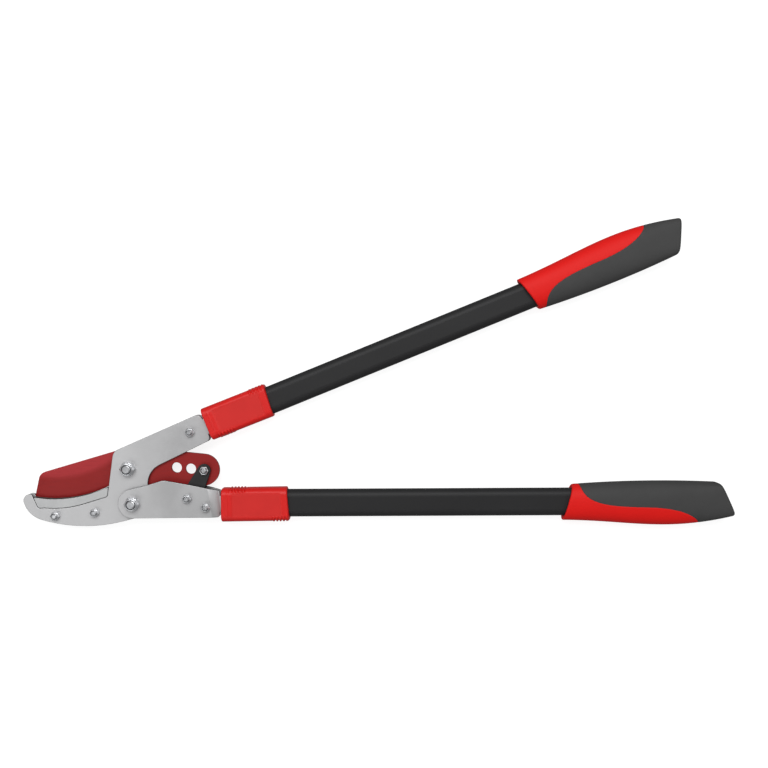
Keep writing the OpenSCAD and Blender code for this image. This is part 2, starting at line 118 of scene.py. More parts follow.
def piece(name, points, faces, finish, body, slot, nodes, soft_angle=35, shades=None):
    """A closed piece from points in millimetres and index faces, smooth below soft_angle.
    Shades are numbers at its points, by name, that its finish reads."""
    mesh = bpy.data.meshes.new(name)
    mesh.from_pydata((points * MM).tolist(), [], faces.tolist())
    for key, values in (shades or {}).items():
        shade = mesh.attributes.new(key, "FLOAT", "POINT")
        shade.data.foreach_set("value", values.astype(np.float32))
    work = bmesh.new()
    work.from_mesh(mesh)
    bmesh.ops.remove_doubles(work, verts=work.verts, dist=SAME_POINT)
    bmesh.ops.dissolve_degenerate(work, edges=work.edges, dist=SAME_POINT / 4)
    bmesh.ops.recalc_face_normals(work, faces=work.faces)
    work.to_mesh(mesh)
    work.free()
    mesh.polygons.foreach_set("use_smooth", np.ones(len(mesh.polygons), bool))
    mesh.set_sharp_from_angle(angle=math.radians(soft_angle))
    thing = bpy.data.objects.new(name, mesh)
    bpy.context.scene.collection.objects.link(thing)
    mesh.materials.append(finish)
    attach(thing, body)
    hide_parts(*nodes)
    return thing


def quads(index):
    """The quads between neighbouring rows and columns of an array of indices."""
    four = [index[:-1, :-1], index[:-1, 1:], index[1:, 1:], index[1:, :-1]]
    return np.stack(four, -1).reshape(-1, 4)


def looped(grid):
    """Points and quads of a grid whose last column joins its first."""
    index = np.arange(grid.shape[0] * grid.shape[1]).reshape(grid.shape[:2])
    return grid.reshape(-1, 3), quads(np.hstack([index, index[:, :1]]))


def ringed(grid):
    """Points and quads of a grid that joins its ends both ways, as a tyre's skin does."""
    index = np.arange(grid.shape[0] * grid.shape[1]).reshape(grid.shape[:2])
    index = np.vstack([index, index[:1]])
    return grid.reshape(-1, 3), quads(np.hstack([index, index[:, :1]]))


def walled(top, under, rim_rows):
    """Points and quads of two sheets of one shape, joined at their first row and, on the rows
    of rim_rows, along both sides."""
    index = np.arange(top.shape[0] * top.shape[1]).reshape(top.shape[:2])
    low = index + index.size
    parts = [quads(index), quads(low), quads(np.stack([index[0], low[0]]))]
    for column in (0, -1):
        parts.append(quads(np.stack([index[rim_rows, column], low[rim_rows, column]])))
    return np.concatenate([top.reshape(-1, 3), under.reshape(-1, 3)]), np.concatenate(parts)


def rounding(distance, radius):
    """How far an edge of that radius has dropped, at a distance from its very end."""
    short = np.clip(radius - distance, 0, radius)
    return radius - np.sqrt(radius ** 2 - short ** 2)


def smooth(value, low, high):
    """0 below low, 1 above high, and an easy curve between them."""
    t = np.clip((value - low) / (high - low), 0, 1)
    return t * t * (3 - 2 * t)


def band(value, low, high, rise, fall):
    """1 between low and high and 0 outside, over a rise and a fall of those widths inside."""
    return smooth(value, low, low + rise) * (1 - smooth(value, high - fall, high))


# ---- finishes ----

class Wire:
    """An output in a finish's node tree. Arithmetic on wires adds Math nodes."""

    def __init__(self, finish, socket):
        self.finish = finish
        self.socket = socket

    def __add__(self, other):
        return self.finish.math("ADD", self, other)

    def __sub__(self, other):
        return self.finish.math("SUBTRACT", self, other)

    def __rsub__(self, other):
        return self.finish.math("SUBTRACT", other, self)

    def __mul__(self, other):
        return self.finish.math("MULTIPLY", self, other)

    __radd__ = __add__
    __rmul__ = __mul__


class Finish:
    """A material around one Principled shader, patterned at real scale on Object coordinates."""

    def __init__(self, name):
        self.material = bpy.data.materials.new(name)
        self.material.use_nodes = True
        self.nodes = self.material.node_tree.nodes
        self.links = self.material.node_tree.links
        self.shader = self.nodes["Principled BSDF"]
        self.place = self.add("ShaderNodeTexCoord", output="Object")

    def add(self, kind, settings=None, sockets=None, output=0):
        """A node of that kind with its settings, then its sockets set or linked."""
        node = self.nodes.new(kind)
        for key, value in (settings or {}).items():
            setattr(node, key, value)
        for key, value in (sockets or {}).items():
            self.put(node.inputs[key], value)
        return Wire(self, node.outputs[output])

    def put(self, socket, value):
        """Links a wire to a socket, or sets the socket to a plain value."""
        if isinstance(value, Wire):
            self.links.new(value.socket, socket)
        else:
            socket.default_value = value

    def math(self, operation, first, second):
        """A Math node on two wires or numbers."""
        return self.add("ShaderNodeMath", {"operation": operation}, {0: first, 1: second})

    def noise(self, size, detail=2, stretch=(1, 1, 1), turn=0):
        """Cloudy noise from 0 to 1, its lumps about size millimetres across, times stretch."""
        scale = [1 / (s * size * MM) for s in stretch]
        place = self.add("ShaderNodeMapping", {}, {
            "Vector": self.place, "Rotation": (0, 0, turn), "Scale": scale})
        return self.add("ShaderNodeTexNoise", {}, {
            "Vector": place, "Scale": 1, "Detail": detail, "Roughness": 0.55})

    def ramp(self, value, low, high, start=0.0, end=1.0):
        """Goes smoothly from start at low to end at high."""
        return self.add("ShaderNodeMapRange", {"interpolation_type": "SMOOTHSTEP"}, {
            "Value": value, "From Min": low, "From Max": high, "To Min": start, "To Max": end})

    def blend(self, first, second, share):
        """The second colour over the first by share."""
        return self.add("ShaderNodeMix", {"data_type": "RGBA"}, {0: share, 6: first, 7: second}, 2)

    def bump(self, height, depth, normal=None):
        """Relief of that depth in millimetres from a height between 0 and 1."""
        sockets = {"Strength": 1, "Distance": depth * MM, "Height": height}
        if normal:
            sockets["Normal"] = normal
        return self.add("ShaderNodeBump", {}, sockets)

    def far_from(self, centre):
        """Distance in millimetres from an upright line through centre."""
        flat = self.add("ShaderNodeVectorMath", {"operation": "MULTIPLY"}, {
            0: self.place, 1: (1 / MM, 1 / MM, 0)})
        return self.add("ShaderNodeVectorMath", {"operation": "DISTANCE"}, {
            0: flat, 1: (centre[0], centre[1], 0)}, "Value")

    def along_x(self):
        """The X of the place being coloured, in metres."""
        return self.add("ShaderNodeSeparateXYZ", {}, {"Vector": self.place})

    def shade(self, name):
        """The shade of that name stored at the piece's points."""
        return self.add("ShaderNodeAttribute", {"attribute_name": name}, {}, "Fac")

    def side_on(self):
        """1 on walls that stand upright, 0 on faces that look up or down."""
        normal = self.add("ShaderNodeNewGeometry", output="Normal")
        rise = self.add("ShaderNodeSeparateXYZ", {}, {"Vector": normal}, 2)
        return self.ramp(self.math("ABSOLUTE", rise, 0), 0.3, 0.9, 1.0, 0.0)

    def coat(self, **sockets):
        """Sets the shader's sockets, written with underscores for spaces."""
        for key, value in sockets.items():
            self.put(self.shader.inputs[key.replace("_", " ")], value)
        return self.material


def tone(red, green, blue):
    """A colour of display values from 0 to 255, as the linear colour that shaders take."""
    share = [c / 255 for c in (red, green, blue)]
    return [c / 12.92 if c < 0.04045 else ((c + 0.055) / 1.055) ** 2.4 for c in share] + [1]


PAINTED_SHEEN_FULL = -30 * MM  # X up to which a painted sheen lightens the steel fully, a painted highlight towards the cutting head
PAINTED_SHEEN_GONE = 50 * MM  # X from which the painted sheen is gone and the steel has its ordinary tone


def satin_steel(name, light, dark):
    """Tumbled and lightly brushed steel: soft clouds, a fine grain along X, faint hairlines, a
    painted highlight towards the head and upright walls darker, partly dull shear-cut edge, partly
    painted shade."""
    f = Finish(name)
    cloud = f.noise(28, 3)
    grain = f.noise(0.22, 2, (14, 1, 1), 0.06)
    speck = f.noise(0.35, 2)
    hairline = f.ramp(f.noise(0.5, 1, (60, 1, 1), 0.5), 0.70, 0.76)
    shade = f.ramp(cloud * 0.6 + grain * 0.25 + speck * 0.15, 0.35, 0.65)
    # Painted highlight: the steel is lightened towards the cutting head, standing in for a brighter
    # reflection there.
    painted_sheen = f.ramp(f.along_x(), PAINTED_SHEEN_FULL, PAINTED_SHEEN_GONE, 1.0, 0.0)
    # Painted shade: upright walls are darkened to a dark grey, partly the duller shear-cut edge and
    # partly shade that falls on the walls.
    sheared_and_shaded = f.side_on()
    face = f.blend(f.blend(dark, light, shade), tone(200, 200, 201), painted_sheen * 0.7)
    return f.coat(
        Base_Color=f.blend(face, tone(78, 78, 80), sheared_and_shaded),
        Metallic=0.75,
        Roughness=0.42 + cloud * 0.1 + grain * 0.08 - hairline * 0.05 + sheared_and_shaded * 0.12,
        Normal=f.bump(grain * 0.5 + speck * 0.5 - hairline * 0.5, 0.012))


def cast_alloy():
    """Blasted light alloy: an even fine grain, a touch warmer than the steel, with painted shade on
    its upright walls.
    """
    f = Finish("cast alloy")
    grain = f.noise(0.45, 3)
    cloud = f.noise(12, 2)
    face = f.blend(tone(172, 173, 174), tone(196, 197, 197), cloud * 0.6 + grain * 0.4)
    return f.coat(
        # Painted shade: upright walls are darkened to a dark grey, shade painted on the anvil's
        # sides and at its joint with the plates.
        Base_Color=f.blend(face, tone(80, 81, 82), f.side_on()),
        Metallic=0.6,
        Roughness=0.46 + grain * 0.12,
        Normal=f.bump(grain, 0.02))


EDGE_CENTRE = (-78.5, 128.5)  # centre of the arc that the cutting edge follows
EDGE_RADIUS = 123.7
HOLLOW = 22  # width of the ground hollow along the edge
EDGE_END = -25 * MM  # X where the cutting edge ends at the heel


def red_blade():
    """Dark red low-friction coating, rubbed at the edge, with a painted highlight that makes the
    flat lighter than the hollow.
    """
    f = Finish("red blade coating")
    depth = EDGE_RADIUS - f.far_from(EDGE_CENTRE)
    streak = f.noise(0.8, 2, (16, 1, 1), 0.1)
    grain = f.noise(0.3, 2)
    # Painted highlight: the flat beyond the hollow is coloured lighter than the hollow, standing in
    # for light falling on the flat.
    body = f.blend(tone(138, 22, 21), tone(163, 42, 46), f.ramp(depth, HOLLOW - 5, HOLLOW + 3))
    body = f.blend(body, tone(96, 26, 30), f.ramp(streak, 0.52, 0.8) * 0.35)
    cutting = f.ramp(f.along_x(), EDGE_END - 2 * MM, EDGE_END, 1.0, 0.0)
    rubbed = f.ramp(depth + streak * 0.5, 0.35, 0.75, 1.0, 0.0) * cutting
    return f.coat(
        Base_Color=f.blend(body, tone(120, 118, 116), rubbed),
        Metallic=0.25 + rubbed * 0.6,
        Roughness=0.4 + streak * 0.14,
        Normal=f.bump(grain * 0.6 + streak * 0.4, 0.012),
        Specular_IOR_Level=0.35)


def black_paint():
    """Baked black paint on the links, with a light orange peel."""
    f = Finish("black link paint")
    peel = f.noise(1.1, 1)
    dust = f.noise(9, 3)
    return f.coat(
        Base_Color=f.blend(tone(28, 28, 29), tone(40, 40, 41), dust),
        Roughness=0.42 + dust * 0.15,
        Normal=f.bump(peel, 0.03),
        Specular_IOR_Level=0.3)


def moulded(name, light, dark, roughness, grain_size, grain_depth, specular=0.3):
    """Moulded plastic or rubber: a fine spark-eroded grain and slow changes of tone."""
    f = Finish(name)
    grain = f.noise(grain_size, 3)
    cloud = f.noise(22, 2)
    return f.coat(
        Base_Color=f.blend(dark, light, cloud * 0.7 + grain * 0.3),
        Roughness=roughness + grain * 0.14,
        Normal=f.bump(grain, grain_depth),
        Specular_IOR_Level=specular)


def collar_plastic():
    """Red moulded plastic, deeper in tone and duller in the sunk panels."""
    f = Finish("red collar plastic")
    grain = f.noise(0.5, 3)
    cloud = f.noise(18, 2)
    panel = f.shade("panel")
    rim = f.blend(tone(196, 22, 19), tone(210, 27, 23), cloud)
    sunk = f.blend(tone(190, 28, 24), tone(204, 34, 30), cloud)
    return f.coat(
        Base_Color=f.blend(rim, sunk, panel),
        Roughness=0.36 + panel * 0.12 + grain * 0.12,
        Normal=f.bump(grain, 0.02),
        Specular_IOR_Level=0.3)


def powder_coat():
    """Black powder coat on the tubes: soft orange peel over a fine grain."""
    f = Finish("black powder coat")
    peel = f.noise(1.6, 1)
    grain = f.noise(0.3, 2)
    cloud = f.noise(40, 3, (3, 1, 1))
    return f.coat(
        Base_Color=f.blend(tone(27, 27, 28), tone(35, 35, 36), cloud),
        Roughness=0.46 + grain * 0.12,
        Normal=f.bump(grain, 0.01, f.bump(peel, 0.04)),
        Specular_IOR_Level=0.25)


def plated(name, light, dark, roughness):
    """Bright plating with a fine drawn grain and a cloudy passivated film. Where a piece's
    shade "nylon" is 1 it is the dull dark insert of a lock nut instead."""
    f = Finish(name)
    film = f.noise(3, 3)
    grain = f.noise(0.16, 1, (1, 1, 6))
    nylon = f.shade("nylon")
    metal = f.blend(dark, light, film)
    return f.coat(
        Base_Color=f.blend(metal, tone(52, 54, 58), nylon),
        Metallic=1 - nylon,
        Roughness=roughness + film * 0.12 + grain * 0.08,
        Normal=f.bump(grain, 0.006))


STEEL = satin_steel("satin steel", tone(180, 180, 181), tone(167, 167, 168))
ALLOY = cast_alloy()
BLADE = red_blade()
LINK = black_paint()
COLLAR = collar_plastic()
GRIP_RED = moulded(
    "red grip rubber", tone(216, 20, 15), tone(207, 16, 12), 0.5, 0.35, 0.03, 0.2)
GRIP_DARK = moulded(
    "charcoal grip rubber", tone(64, 64, 64), tone(55, 55, 55), 0.6, 0.35, 0.04, 0.25)
TUBE = powder_coat()
INNER = moulded("black inner plastic", tone(40, 40, 40), tone(28, 28, 28), 0.5, 0.6, 0.02)
BRONZE = plated("slip washer bronze", tone(214, 178, 110), tone(186, 146, 84), 0.3)
ZINC = plated("bright zinc", tone(228, 229, 231), tone(198, 200, 204), 0.2)

CAD_FINISH = {
    "tube": TUBE, "tang_filler": INNER, "tube_plug": INNER, "tang_rivets": ZINC,
    "sleeve": ZINC, "spacer": ZINC, "bush": ZINC, "slip_washers": BRONZE,
}


# ---- plates, links, blade and anvil: the CAD shapes with their edges broken ----

SHARP_ANGLE = math.radians(40)


def broken_edges(node, width, finish, body):
    """The CAD node's own shape, merged into clean faces, with every sharp edge rounded off.
    Level faces stay flat in shade, and the walls and rounded edges are smooth."""
    mesh = frame["nodes"][node].data.copy()
    mesh.name = node + "_finished"
    work = bmesh.new()
    work.from_mesh(mesh)
    bmesh.ops.remove_doubles(work, verts=work.verts, dist=0.002 * MM)
    bmesh.ops.dissolve_limit(
        work, angle_limit=math.radians(0.6), verts=work.verts, edges=work.edges)
    sharp = [e for e in work.edges if e.is_manifold and e.calc_face_angle() > SHARP_ANGLE]
    bmesh.ops.bevel(
        work, geom=sharp, offset=width * MM, segments=3, profile=0.5, affect="EDGES",
        clamp_overlap=False)
    work.to_mesh(mesh)
    work.free()
    normals = np.empty(len(mesh.polygons) * 3)
    mesh.polygons.foreach_get("normal", normals)
    level = abs(normals.reshape(-1, 3)[:, 2]) > 0.9999
    mesh.polygons.foreach_set("use_smooth", ~level)
    mesh.materials.clear()
    mesh.materials.append(finish)
    thing = bpy.data.objects.new(node + "_finished", mesh)
    bpy.context.scene.collection.objects.link(thing)
    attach(thing, body)
    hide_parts(node)


for side in ("front", "rear"):
    broken_edges("anvil_plate_" + side, 0.5, STEEL, "upper_arm")
    broken_edges("lower_plate_" + side, 0.5, STEEL, "lower_arm")
    broken_edges("link_" + side, 0.35, LINK, "link")
broken_edges("anvil", 0.3, ALLOY, "upper_arm")
broken_edges("blade", 0.12, BLADE, "blade")


# ---- fasteners: turned shapes with a hexagon where they have flats ----

AROUND = np.arange(144) * TURN / 144
FLATS_CONE = 0.96  # the cone that cuts a hexagon's corners, as a share of its flats at the end
CONE_SLOPE = 1.73  # how far that cone widens for each millimetre, a slope of 30 degrees
THREAD_DEPTH = 0.6  # depth of a thread, as a share of its pitch
INSERT_WIDTH = 0.6  # width of a lock nut's nylon ring, as a share of its crown's wall
CROWN_WIDTH = 0.455  # radius of a lock nut's crown, as a share of its flats
CROWN_HEIGHT = 0.255  # height of the crown, as a share of the whole nut's
THIN_CROWN = 0.6  # height of a thin nut's crown


def hexagon(across_flats):
    """Radius of a hexagon at each angle, its corners at 0, 60, 120 degrees and so on."""
    return across_flats / 2 / np.cos(AROUND % (TURN / 6) - TURN / 12)


def turned(rows, centre):
    """A grid of rows of (height, radius), radius one number or one for each angle."""
    radius = np.array([np.broadcast_to(r, AROUND.shape) for z, r in rows])
    height = np.array([np.broadcast_to(z, AROUND.shape) for z, r in rows])
    flat = radius[..., None] * np.stack([np.cos(AROUND), np.sin(AROUND)], -1)
    return np.concatenate([flat + centre, height[..., None]], -1)


def chamfered(across_flats, z_values, z_end, way):
    """Rows up a hexagon whose corners are cut by a 30 degree cone at the height z_end."""
    cone = across_flats / 2 * FLATS_CONE
    return [(z, np.minimum(hexagon(across_flats), cone + way * (z_end - z) * CONE_SLOPE))
            for z in z_values]


def bolt(centre, radius, pitch, flats, head_low, head_top, thread_from, tip):
    """A hex bolt from its head to its tip: a chamfered head, a plain shank and a thread.

    The thread's radius falls from the crest by a share of the pitch, as a rounded V that
    climbs one pitch for each turn."""
    head_h = head_top - head_low
    rows = [(head_low + 0.25, 0), (head_low + 0.25, flats * 0.3), (head_low, flats * 0.36)]
    rows += chamfered(flats, head_low + head_h * np.linspace(0, 1, 9) ** 2, head_low, -1)
    rows += [(head_top, radius + 0.25), (head_top + 0.25, radius), (thread_from, radius)]
    for z in np.arange(thread_from, tip - 0.45, pitch / 10):
        phase = (z / pitch - AROUND / TURN) % 1
        cut = THREAD_DEPTH * pitch * smooth(1 - abs(2 * phase - 1), 0.1, 1)
        rows.append((z, radius - cut * smooth(z, thread_from, thread_from + pitch / 2)))
    rows += [(tip - 0.3, radius - 0.45), (tip, radius - 0.75), (tip, radius * 0.3)]
    rows += [(tip - 0.05, 0)]
    return turned(rows, centre)


def lock_nut(centre, radius, flats, low, hex_h, crown_r, crown_h):
    """A self-locking nut: a chamfered hexagon, a rounded crown and a sunk ring of nylon."""
    top = low + hex_h
    peak = top + crown_h
    rows = [(low, radius), (low, flats * 0.45)]
    rows += chamfered(flats, low + hex_h * np.linspace(0.02, 0.3, 3), low, -1)
    rows += chamfered(flats, top - hex_h * np.linspace(1, 0, 9)[3:] ** 2, top, 1)
    rows += [(top, crown_r + 0.25), (top + 0.15, crown_r + 0.04), (top + 0.4, crown_r)]
    bend = np.linspace(0, TURN / 4, 7)
    lip = crown_h * 0.45
    rows += [(peak - lip + lip * math.sin(t), crown_r - lip + lip * math.cos(t)) for t in bend]
    insert = (crown_r - radius) * INSERT_WIDTH
    rows += [(peak - 0.1, radius + insert), (peak - 0.7, radius + insert - 0.1),
             (peak - 0.75, radius + 0.05), (peak - 1.0, radius), (peak - 1.05, radius)]
    return turned(rows, centre)


def fasten(bolt_node, nut_node, centres, body, size, thin_nut=False):
    """Replaces the bolts and nuts of a fastening, at the heights of its CAD bolt's and nut's
    boxes. The nut's last four rows are its nylon ring."""
    radius, pitch, flats, head_h = size
    low, high = corners(bolt_node)
    nut_low, nut_high = corners(nut_node)
    points, faces = zip(*[looped(bolt(
        c, radius, pitch, flats, low[2], low[2] + head_h, nut_high[2] - 0.8, high[2]))
        for c in centres])
    piece(bolt_node + "_finished", *joined(points, faces), ZINC, body, "zinc", [bolt_node])
    nut_h = nut_high[2] - nut_low[2]
    crown_h = THIN_CROWN if thin_nut else nut_h * CROWN_HEIGHT
    points, faces = zip(*[ringed(lock_nut(
        c, radius + 0.02, flats, nut_low[2], nut_h - crown_h, flats * CROWN_WIDTH, crown_h))
        for c in centres])
    points, faces = joined(points, faces)
    rows = len(points) // len(AROUND) // len(centres)
    nylon = np.arange(rows) >= rows - 4
    shade = {"nylon": np.tile(np.repeat(nylon, len(AROUND)), len(centres))}
    piece(nut_node + "_finished", points, faces, ZINC, body, "zinc", [nut_node], 35, shade)


def joined(points, faces):
    """One array of points and one of faces from several of each."""
    starts = np.cumsum([0] + [len(p) for p in points[:-1]])
    return np.concatenate(points), np.concatenate([f + s for f, s in zip(faces, starts)])


def middle_of(node):
    """The x and y of the middle of a CAD node's box."""
    low, high = corners(node)
    return (low[:2] + high[:2]) / 2


def both_middles(node):
    """Where the two like solids of a node stand, from its box's ends along X."""
    places = flat_points(node)
    split = (places[:, 0].min() + places[:, 0].max()) / 2
    halves = [places[places[:, 0] < split], places[places[:, 0] > split]]
    return [(h.min(0) + h.max(0)) / 2 for h in halves]


M8 = (4, 1.25, 13, 5.3)  # radius, pitch, width across flats and height of the head
M5 = (2.5, 0.8, 8, 3.5)
M5_LOW_HEAD = (2.5, 0.8, 8, 2.8)
fasten("handle_pivot_bolt", "handle_pivot_nut", [pivot("handle_open")], "upper_arm", M8)
fasten("blade_pivot_bolt", "blade_pivot_nut", [pivot("blade_open")], "upper_arm", M8)
for stem, body in [("upper_arm", "upper_arm"), ("link_anchor", "lower_arm"),
                   ("lower_arm", "lower_arm")]:
    fasten(stem + "_bolt", stem + "_nut", [middle_of(stem + "_bolt")], body, M5)
fasten("anvil_screws", "anvil_nuts", both_middles("anvil_screws"), "upper_arm", M5)
fasten("link_pin_bolt", "link_pin_nut", [pivot("link_swing")], "blade", M5_LOW_HEAD, True)


# ---- collars ----

COLLAR_LENGTH = 65.6  # along its inner edge; its outer edge is longer by the skew
COLLAR_SKEW = 2.2
SKEW_SIDE = -16  # b at which the length is the inner edge's
SKEW_WIDTH = 33.5  # width over which the skew grows
COLLAR_WIDTH = 33.4
COLLAR_THICK = 22
COLLAR_ROUND = 7  # radius of its long corners, before the width is drawn in a little
COLLAR_SCALE = 17.2  # half the width that the section is drawn with before that
COLLAR_SHIFT = 1.0  # how far its middle stands outwards from the tube's
COLLAR_TAPER = 0.75  # how far its middle comes back inwards from the head end to the tube end
COLLAR_STOP = 4.0  # length from the head end up to the step that the tube stops at
COLLAR_HOLE = (13.95, 7.35, 7.3)  # half width, half thickness and corner radius for the tube
COLLAR_SLOT = (8.3, 5.8, 0.3)  # the same for the tang
INNER_RIBS = (7.2, 24.7)  # from the head end
OUTER_RIBS = (17, 1.6)  # from the tube end
RIB_FIRST = 9.4  # from the head end to a rib's crest
RIB_PITCH = 3.3
RIB_STAND = 0.55
PANEL_ENDS = (9.8, 6.2)  # how far the sunk panel stays from the head end and from the other
PANEL_SIDES = (-12.2, 13.6)
PANEL_EDGE = 2.4  # width of its soft edge
PANEL_SINK = 0.5
RIDGE_AT = 6.2
END_EDGE = 1.6  # rounding of both ends


def box_section(half_b, half_z, radius, straight_b, straight_z, bend):
    """Points (b, z) around a box with rounded corners, with the given numbers of points on its
    long sides, its short sides and each corner. It starts where the outer side meets a corner."""
    b, z = half_b - radius, half_z - radius
    quarter = np.linspace(0, TURN / 4, bend, endpoint=False)
    parts = []
    for k, (cb, cz) in enumerate([(b, z), (-b, z), (-b, -z), (b, -z)]):
        angle = quarter + k * TURN / 4
        parts.append(np.stack([cb + radius * np.cos(angle), cz + radius * np.sin(angle)], -1))
        step_b, step_z = [(-1, 0), (0, -1), (1, 0), (0, 1)][k]
        reach = 2 * b if k % 2 == 0 else 2 * z
        count = straight_b if k % 2 == 0 else straight_z
        way = np.linspace(0, reach, count, endpoint=False)
        from_b = cb + (0, -radius, 0, radius)[k]
        from_z = cz + (radius, 0, -radius, 0)[k]
        parts.append(np.stack([from_b + step_b * way, from_z + step_z * way], -1))
    return np.concatenate(parts)


def collar(arm):
    """A sleeve over the joint: a rounded box section carried along the arm.

    Its outer skin stands or sinks by a height worked out from a, b and z: small ribs that wrap
    the inner edge near the head and the outer edge near the tube, a sunk panel with a soft
    border on both faces, a low ridge near the head, and rounded ends."""
    counts = (56, 18, 14)
    share = np.linspace(0, 1, 230)[:, None]
    unit = box_section(1, COLLAR_THICK / 2 / COLLAR_SCALE, COLLAR_ROUND / COLLAR_SCALE, *counts)
    unit = unit[None]
    b = COLLAR_SHIFT + unit[..., 0] * COLLAR_WIDTH / 2 - (share - 0.5) * COLLAR_TAPER
    z = unit[..., 1] * COLLAR_SCALE + 0 * b
    longest = COLLAR_LENGTH + COLLAR_SKEW * (b - SKEW_SIDE) / SKEW_WIDTH
    a = share * longest
    rib = np.clip(np.cos(TURN * (a - RIB_FIRST) / RIB_PITCH) * 1.8 + 0.1, -1, 1)
    inner = band(a, *INNER_RIBS, 0.7, 0.7) * (1 - smooth(b, -12.6, -11))
    outer = band(a, longest - OUTER_RIBS[0], longest - OUTER_RIBS[1], 0.7, 1.0)
    outer = outer * smooth(b, 11.8, 13.4)
    on_face = smooth(abs(z), COLLAR_THICK / 2 - 2.5, COLLAR_THICK / 2 - 0.4)
    panel = on_face * band(b, *PANEL_SIDES, PANEL_EDGE, PANEL_EDGE)
    panel = panel * band(a, PANEL_ENDS[0], longest - PANEL_ENDS[1], PANEL_EDGE, PANEL_EDGE)
    ridge = on_face * np.exp(-((a - RIDGE_AT) / 0.7) ** 2) * band(b, -12.5, 12.5, 1.5, 2.0)
    out = RIB_STAND * rib * (inner + outer) + 0.3 * ridge - PANEL_SINK * panel
    out = out - rounding(a, END_EDGE) - rounding(longest - a, END_EDGE)
    lean_b, lean_z = outward(unit, counts)
    skin = np.stack([a, b + out * lean_b, z + out * lean_z], -1)
    hole = box_section(*COLLAR_HOLE, *counts)
    slot = box_section(*COLLAR_SLOT, *counts)
    ends = [ring_at(longest[-1], hole), ring_at(COLLAR_STOP, hole),
            ring_at(COLLAR_STOP, slot), ring_at(0.0, slot)]
    points, faces = ringed(arm.place(np.concatenate([skin, np.stack(ends)])))
    node = arm.side + "_collar"
    shade = {"panel": np.concatenate([panel, np.zeros((len(ends), len(hole)))]).ravel()}
    piece(node + "_finished", points, faces, COLLAR, arm.side + "_arm", "collar_plastic",
          [node], 50, shade)


def ring_at(a, section):
    """A section placed at a along the arm."""
    return np.concatenate([np.broadcast_to(a, len(section))[:, None], section], -1)


def outward(unit, counts):
    """The outward direction of each point of a box section, from its neighbours."""
    step = np.roll(unit, -1, 1) - np.roll(unit, 1, 1)
    size = np.hypot(step[..., 0], step[..., 1])
    return step[..., 1] / size, -step[..., 0] / size


# ---- grips ----

GRIP_START = 341  # from the collar's head end to the grip's own origin
# the grip's two edges and the two halves of its split, as cubic curves in a and b from there
OUTER_EDGE = np.array([[0.8, 18.4], [68.4, 19.3], [102.8, 31.4], [168.5, 14.8]])
INNER_EDGE = np.array([[11, -17.6], [52, -20.6], [104, -22], [153.7, -18.7]])
SPLIT_NEAR = np.array([[15.3, -21], [19, -7.7], [23.1, 3], [70, 4]])
SPLIT_FAR = np.array([[70, 4], [70, 5.3], [122.1, 0.4], [136, 22.5]])
GRIP_SQUARE = 0.86  # 1 would make its section an ellipse, less makes it squarer
GRIP_SQUARE_END = 0.45
GRIP_THICK = 2 * MIDDLE  # so that its underside just reaches the floor
NECK_SLIMMER = 1.6  # how much less half the thickness is at the neck
END_SLIMMER = 0.9
END_ROUND = 3  # length of the rounding at the end
END_INSET = 2  # how far that rounding comes in
NECK_ROUND = 1.5
TUBE_HALF = (13.9, 7.3)  # half the width and half the thickness of the hole for the tube
HOLE_END = 0.94  # where the hole stops, as a share of the grip
SPLIT_DROP = 0.7  # rounding of both pieces along the split
NECK_ROWS = 14
SPLIT_ROWS = 190
END_ROWS = 60


def bezier(points, t):
    """The cubic curve on four points, at each t from 0 to 1."""
    t = np.asarray(t)[..., None]
    a, b, c, d = points
    return (1 - t) ** 3 * a + 3 * t * (1 - t) ** 2 * b + 3 * t ** 2 * (1 - t) * c + t ** 3 * d


def eased(value, power):
    """Makes a circle's sine or cosine into a squarer oval's, the squarer the lower the power."""
    return np.sign(value) * abs(value) ** power


def squareness(t):
    """The power for eased at t along the grip. It falls past halfway, to a squarer section."""
    return GRIP_SQUARE + (GRIP_SQUARE_END - GRIP_SQUARE) * np.clip(2 * t - 1, 0, 1) ** 2


def split_line():
    """The line where the red cover meets the dark body, in a and b from the grip's origin."""
    t = np.linspace(0, 1, 120)
    before, after = [[15.2, -30]], [[139, 30]]
    return np.concatenate([before, bezier(SPLIT_NEAR, t), bezier(SPLIT_FAR, t[1:]), after])


SPLIT = split_line()


def split_angle(t):
    """On the ring at t, the angle from the outer edge round to the split: half a turn where
    the ring is all cover and 0 where it is all body."""
    outer, inner = bezier(OUTER_EDGE, t), bezier(INNER_EDGE, t)
    x = np.linspace(-1, 1, 1201)[:, None, None]
    chord = (outer + inner) / 2 + (outer - inner) / 2 * x
    gap = chord[..., 1] - np.interp(chord[..., 0], SPLIT[:, 0], SPLIT[:, 1])
    covered = gap > 0
    first = np.argmax(covered, axis=0)
    column = np.arange(len(t))
    before = gap[np.maximum(first - 1, 0), column]
    after = gap[first, column]
    step = x[1, 0, 0] - x[0, 0, 0]
    at = x[first, 0, 0] - np.where(first > 0, after / (after - before + 1e-12), 0) * step
    at = np.where(covered.any(0), at, 1)
    return np.arccos(eased(at, 1 / squareness(t)))


def edge_way(points, t):
    """The way that an edge curve runs at its start or, past halfway, at its end."""
    first, last = points[1] - points[0], points[3] - points[2]
    first, last = first / np.linalg.norm(first), last / np.linalg.norm(last)
    return np.where(t[..., None] < 0.5, first, last)


